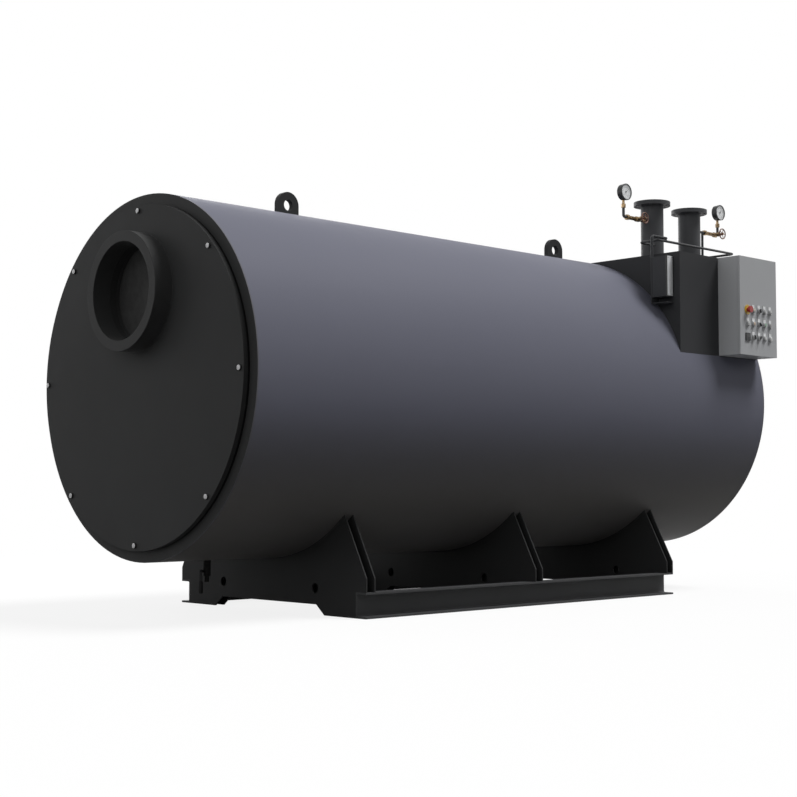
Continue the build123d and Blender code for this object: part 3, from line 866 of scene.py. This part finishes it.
screw = {"inset": 0.0085, "washerRadius": 0.0042, "washerRise": 0.0005, "headRadius": 0.0034,
         "rimRise": 0.0004, "headRise": 0.001}
screwHead = turn(domedHead(screw), around=16)
screwPlaces = [(x, coverLow[1], z)
               for x in (coverLow[0] + cover["margins"][0] + screw["inset"],
                         coverHigh[0] - cover["margins"][1] - screw["inset"])
               for z in (coverLow[2] + screw["inset"], coverHigh[2] - screw["inset"])]
build("instrumentCoverScrews", [stand(screwHead, place, east, up, south) for place in screwPlaces],
      "zinc")
print("instrument cover screwed on")


# lamps, switches, labels and the stop's cap on the cabinet door

device = {"reach": 0.012, "halfWidth": 0.015, "plateFront": 0.002}
cap = {"radius": 0.0113, "foot": -0.001, "rim": 0.0006, "rise": 0.0022}
bezel = {"outer": 0.0149, "inner": 0.0116, "back": -0.0098, "front": 0.0008,
         "slope": 0.0018, "slopeIn": 0.0012, "lip": 0.0008, "around": 32}
plate = {"width": 0.0275, "height": 0.018, "round": 0.0012, "thick": 0.0005, "lift": 0.0245}
knob = {"width": 0.0085, "length": 0.0255, "round": 0.0035, "foot": -0.001, "rise": 0.0105,
        "slope": 0.0012, "shoulder": 0.92, "front": 0.8}
mark = {"width": 0.0014, "length": 0.009, "round": 0.0004, "lift": 0.0065,
        "sunk": 0.0005, "proud": 0.0002}
layout = [
    ["stop", "cream", "switch", "clear", "clear"],
    ["pearl", "amber", "switch", "green", "smoke"],
    ["controller", "switch", "switch", "pearl", "pearl"],
]
knobTurns = {(0, 2): 0.0, (1, 2): 40.0, (2, 1): 0.0, (2, 2): -40.0}

stopPlace = middle("emergency_stop")
controllerPlace = middle("door_controller")
lastColumn = corners("door_devices")[1][0] - device["halfWidth"]
columnPitch = (lastColumn - stopPlace[0]) / (len(layout[0]) - 1)
rowPitch = (stopPlace[2] - controllerPlace[2]) / (len(layout) - 1)


def lensShape():
    # short rim, then a shallow crown
    foot = [(0, cap["foot"]), (cap["radius"], cap["foot"])]
    return turn(foot + crown(cap["radius"], cap["rim"], cap["rise"], 8), around=32)


def bezelShape():
    # a collar round the cap with a sloped front edge, as a closed profile
    outer, inner, back, front = bezel["outer"], bezel["inner"], bezel["back"], bezel["front"]
    profile = [(outer, back), (outer, front - bezel["slope"]), (outer - bezel["slopeIn"], front),
               (inner + bezel["lip"], front), (inner, front - bezel["lip"]), (inner, back)]
    return turn(profile, bezel["around"], loop=True)


def knobShape(angle):
    # a rounded bar across the switch, narrower at its front, and the line along its upper half
    rise, shoulder = knob["rise"], knob["shoulder"]
    bar = roundedBox(knob["width"], knob["length"], knob["round"])
    line = roundedBox(mark["width"], mark["length"], mark["round"]) + (0, mark["lift"])
    barLevels = [(knob["foot"], 1), (rise - knob["slope"], shoulder), (rise, knob["front"])]
    lineLevels = [(rise - mark["sunk"], shoulder), (rise + mark["proud"], shoulder)]
    return pile(turned(bar, angle), barLevels), pile(turned(line, angle), lineLevels)


lenses, bezels, labels, knobs, knobMarks = {}, [], [], [], []
labelShape = pile(roundedBox(plate["width"], plate["height"], plate["round"]),
                  [(0, 1), (plate["thick"], 1)])
for row, kinds in enumerate(layout):
    for column, kind in enumerate(kinds):
        if kind in ("stop", "controller"):
            continue
        x = stopPlace[0] + column * columnPitch
        z = stopPlace[2] - row * rowPitch
        front = (x, doorFace - device["reach"], z)
        bezels.append(stand(bezelShape(), front, east, up, south))
        labelPlace = (x, doorFace - device["plateFront"], z + plate["lift"])
        labels.append(stand(labelShape, labelPlace, east, up, south))
        if kind == "switch":
            bar, line = knobShape(knobTurns[row, column])
            knobs.append(stand(bar, front, east, up, south))
            knobMarks.append(stand(line, front, east, up, south))
        else:
            lenses.setdefault(kind, []).append(stand(lensShape(), front, east, up, south))

build("deviceBezels", bezels, "bezel", "door")
build("deviceLabels", labels, "label", "door")
build("switchKnobs", knobs, "button", "door")
build("switchMarks", knobMarks, "label", "door")
for kind, parts in lenses.items():
    build(kind + "Lenses", parts, kind, "door")

stopHead = {"radius": 0.0204, "foot": -0.012, "rim": -0.004, "rise": 0.0045}
headPlace = (stopPlace[0], corners("emergency_stop")[0][1], stopPlace[2])
mushroom = [(0, stopHead["foot"]), (stopHead["radius"], stopHead["foot"])]
mushroom += crown(stopHead["radius"], stopHead["rim"], stopHead["rise"], 9)
build("stopHeadCap", [stand(turn(mushroom, around=40), headPlace, east, up, south)],
      "stop", "door")
print("door devices fitted")


# screen and keys of the controller

screen = {"width": 0.038, "height": 0.021, "round": 0.0015, "lift": 0.0075,
          "levels": [(-0.0002, 1), (0.0006, 1)]}
key = {"width": 0.0068, "height": 0.0052, "round": 0.001, "drop": 0.0125, "pitch": 0.0092, "count": 4,
       "levels": [(-0.0002, 1), (0.0009, 1), (0.0013, 0.88)]}


def onController(size, across, lift):
    # a rounded plate on the controller's face, across and lift away from its middle
    outline = roundedBox(size["width"], size["height"], size["round"])
    place = (controllerPlace[0] + across, corners("door_controller")[0][1], controllerPlace[2] + lift)
    return stand(pile(outline, size["levels"]), place, east, up, south)


keyPlaces = [(k - (key["count"] - 1) / 2) * key["pitch"] for k in range(key["count"])]
build("controllerScreen", [onController(screen, 0, screen["lift"])],
      "screen", "door")
build("controllerKeys", [onController(key, across, -key["drop"]) for across in keyPlaces],
      "button", "door")
print("controller face set")


# camera, floor, light

view = {"place": (-6.08165, -5.95341, 0.62767), "pitch": 93.438, "yaw": -43.741, "angle": 30.0,
        "farthest": 200}
cameraData = bpy.data.cameras.new("camera")
camera = bpy.data.objects.new("camera", cameraData)
bpy.context.collection.objects.link(camera)
camera.location = view["place"]
camera.rotation_euler = (math.radians(view["pitch"]), 0, math.radians(view["yaw"]))
cameraData.angle = math.radians(view["angle"])
cameraData.clip_end = view["farthest"]
bpy.context.scene.camera = camera

# its disc, its tones to the camera and to soft light, where it turns white, and how much it glows
floorSize = {"reach": 60.0, "around": 64, "pale": 0.95, "bounce": 0.085, "clear": 3.0, "white": 7.0,
             "share": 0.85}


def floorMaterial(size):
    # pale with a faint shadow to the camera and in gloss, dull to soft light, white far away
    shade = Shade("studioFloor")
    rays = shade.tree.nodes.new("ShaderNodeLightPath")
    direct, glossy, through = (Wire(shade, rays.outputs[name])
                               for name in ("Is Camera Ray", "Is Glossy Ray", "Is Transmission Ray"))
    seen = (direct + glossy + through).math("MINIMUM", 1.0)
    tone = shade.mix(seen, (size["bounce"],) * 3, (size["pale"],) * 3)
    diffuse = shade.node("ShaderNodeBsdfDiffuse", None, {"Color": tone})
    glow = shade.node("ShaderNodeEmission", None, {"Color": (1, 1, 1, 1), "Strength": 1.0})
    distance = shade.node("ShaderNodeVectorMath", {"operation": "LENGTH"}, {0: shade.place}, "Value")
    far = distance.above((size["clear"] + size["white"]) / 2, size["white"] - size["clear"])
    share = (far * (1 - size["share"]) + size["share"]) * direct
    return shade.close(shade.node("ShaderNodeMixShader", None, {0: share, 1: diffuse, 2: glow}))


def makeFloor(size):
    # a disc on z = 0 under the object
    points, faces = turn([(0, 0), (size["reach"], 0)], size["around"])
    mesh = bpy.data.meshes.new("floor")
    mesh.from_pydata(points.tolist(), [], faces.tolist())
    mesh.validate()
    cleaned(mesh)
    mesh.materials.append(floorMaterial(size))
    floor = bpy.data.objects.new("floor", mesh)
    bpy.context.collection.objects.link(floor)


makeFloor(floorSize)

sky = {"strength": 0.22}


def makeWorld(levels):
    # an even dome as light, white to the camera and in gloss and glass
    world = bpy.data.worlds.new("studio")
    world.use_nodes = True
    bpy.context.scene.world = world
    tree = world.node_tree
    tree.nodes.clear()
    rays = tree.nodes.new("ShaderNodeLightPath")
    direct = tree.nodes.new("ShaderNodeMath")
    either = tree.nodes.new("ShaderNodeMath")
    either.use_clamp = True
    light = tree.nodes.new("ShaderNodeBackground")
    light.inputs["Strength"].default_value = levels["strength"]
    white = tree.nodes.new("ShaderNodeBackground")
    blend = tree.nodes.new("ShaderNodeMixShader")
    output = tree.nodes.new("ShaderNodeOutputWorld")
    for background in (light, white):
        background.inputs["Color"].default_value = (1, 1, 1, 1)
    tree.links.new(rays.outputs["Is Camera Ray"], direct.inputs[0])
    tree.links.new(rays.outputs["Is Glossy Ray"], direct.inputs[1])
    tree.links.new(direct.outputs[0], either.inputs[0])
    tree.links.new(rays.outputs["Is Transmission Ray"], either.inputs[1])
    tree.links.new(either.outputs[0], blend.inputs[0])
    tree.links.new(light.outputs[0], blend.inputs[1])
    tree.links.new(white.outputs[0], blend.inputs[2])
    tree.links.new(blend.outputs[0], output.inputs["Surface"])


makeWorld(sky)

# spread is a sun's angle in degrees and an area's side in metres
lamps = {
    "overhead": {"kind": "SUN", "place": (3.7, -3.4, 8.6), "aim": (0, 0, 0),
                 "spread": 23.0, "power": 2.6},
    "flueSide": {"kind": "AREA", "place": (-4.2, 4.0, 3.2), "aim": (-2.0, 0.0, 1.2),
                 "spread": 2.5, "power": 25.0},
    "leftSide": {"kind": "SUN", "place": (-9.0, -0.9, 3.5), "aim": (0, 0, 0),
                 "spread": 60.0, "power": 0.56},
    "behind": {"kind": "AREA", "place": (3.0, 7.0, 4.5), "aim": (0.0, 0.0, 1.2),
               "spread": 4.0, "power": 150.0},
}
for lampName, lamp in lamps.items():
    lampData = bpy.data.lights.new(lampName, lamp["kind"])
    lampData.energy = lamp["power"]
    if lamp["kind"] == "SUN":
        lampData.angle = math.radians(lamp["spread"])
    else:
        lampData.size = lamp["spread"]
    lampObject = bpy.data.objects.new(lampName, lampData)
    bpy.context.collection.objects.link(lampObject)
    lampObject.location = lamp["place"]
    away = Vector(lamp["place"]) - Vector(lamp["aim"])
    lampObject.rotation_euler = away.to_track_quat("Z", "Y").to_euler()

bpy.context.scene.view_settings.view_transform = "Standard"
print("camera, floor and light set")
